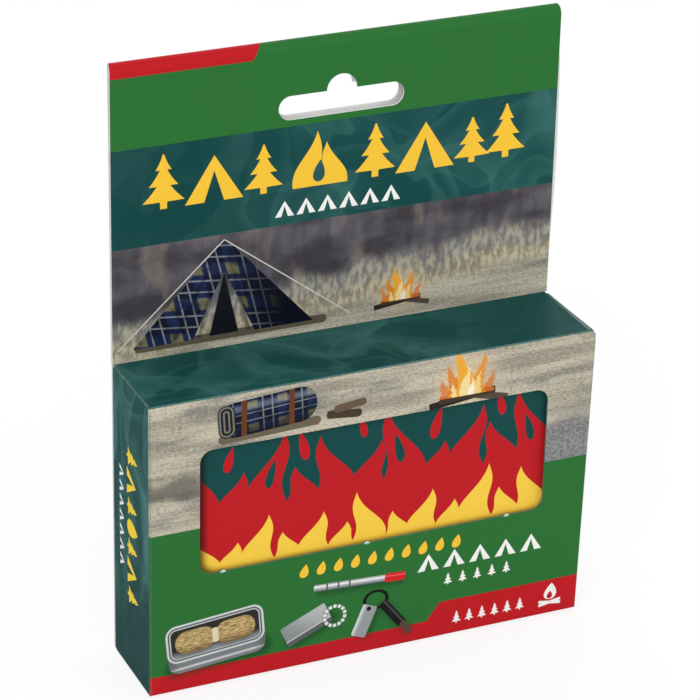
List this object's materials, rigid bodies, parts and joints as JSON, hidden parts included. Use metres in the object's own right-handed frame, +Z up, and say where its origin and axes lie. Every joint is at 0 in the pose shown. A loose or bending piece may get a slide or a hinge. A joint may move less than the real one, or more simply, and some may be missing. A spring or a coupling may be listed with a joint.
{
  "type": "boxed fire starter tin",
  "caption": "Hinged tin of fire lighting tools in a window carton with a hang header; tuck flaps at both ends open.",
  "frame": {"origin": "middle of the carton's flat bottom, which it stands on", "axes": "+X to the right across the front, +Y from the front panel to the back, +Z up to the hang header"},
  "size_m": [0.1162, 0.0284, 0.1524],
  "materials": {
    "printed_board": "printed, satin coating",
    "white_board": "uncoated",
    "printed_tinplate": "printed, gloss lacquer",
    "tinplate": "bare tinplate, satin",
    "hinge_wire": "drawn wire",
    "magnesium": "dull, cast and sawn",
    "chain": "bright",
    "ferro": "dark, coated",
    "handle": "moulded",
    "striker_steel": "ground",
    "cord": "braided",
    "tube_steel": "polished stainless",
    "lip_rubber": "soft, matt",
    "jute": "loose fibre"
  },
  "bodies": {
    "pack": {"front_panel": "printed_board", "top_panel": "printed_board", "bottom_panel": "printed_board", "back_panel": "printed_board", "seam_flap": "white_board", "header_front_ply": "printed_board", "header_back_ply": "white_board", "tin_base": "tinplate", "tin_lid": "printed_tinplate", "hinge_pins": "hinge_wire", "magnesium_bar": "magnesium", "ball_chain": "chain", "chain_clasp": "chain", "ferro_rod": "ferro", "rod_handle": "handle", "striker": "striker_steel", "lanyard_cord": "cord", "cord_end": "handle", "tube_section_1": "tube_steel", "tube_section_2": "tube_steel", "tube_section_3": "tube_steel", "tube_section_4": "tube_steel", "tube_tip": "tube_steel", "mouthpiece": "lip_rubber", "tinder_hank": "jute", "tinder_band": "jute"},
    "left_end": {"left_closure": "printed_board"},
    "left_upper_dust": {"left_upper_dust_flap": "white_board"},
    "left_lower_dust": {"left_lower_dust_flap": "white_board"},
    "right_end": {"right_closure": "printed_board"},
    "right_upper_dust": {"right_upper_dust_flap": "white_board"},
    "right_lower_dust": {"right_lower_dust_flap": "white_board"}
  },
  "joints": [
    {"name": "left_closure_fold", "type": "hinge", "parent": "pack", "child": "left_end", "pos_m": [-0.05715, -0.0127, 0.0388], "axis": [0, 0, 1], "range_deg": [0, 150]},
    {"name": "left_upper_dust_fold", "type": "hinge", "parent": "pack", "child": "left_upper_dust", "pos_m": [-0.0565, 0, 0.0776], "axis": [0, 1, 0], "range_deg": [0, 45]},
    {"name": "left_lower_dust_fold", "type": "hinge", "parent": "pack", "child": "left_lower_dust", "pos_m": [-0.0565, 0, 0], "axis": [0, -1, 0], "range_deg": [0, 45]},
    {"name": "right_closure_fold", "type": "hinge", "parent": "pack", "child": "right_end", "pos_m": [0.05715, -0.0127, 0.0388], "axis": [0, 0, -1], "range_deg": [0, 150]},
    {"name": "right_upper_dust_fold", "type": "hinge", "parent": "pack", "child": "right_upper_dust", "pos_m": [0.0565, 0, 0.0776], "axis": [0, -1, 0], "range_deg": [0, 45]},
    {"name": "right_lower_dust_fold", "type": "hinge", "parent": "pack", "child": "right_lower_dust", "pos_m": [0.0565, 0, 0], "axis": [0, 1, 0], "range_deg": [0, 45]}
  ],
  "couplings": [
    {"joint": "left_upper_dust_fold", "follows": "left_closure_fold", "ratio": 0.3},
    {"joint": "left_lower_dust_fold", "follows": "left_closure_fold", "ratio": 0.3},
    {"joint": "right_upper_dust_fold", "follows": "right_closure_fold", "ratio": 0.3},
    {"joint": "right_lower_dust_fold", "follows": "right_closure_fold", "ratio": 0.3}
  ]
}
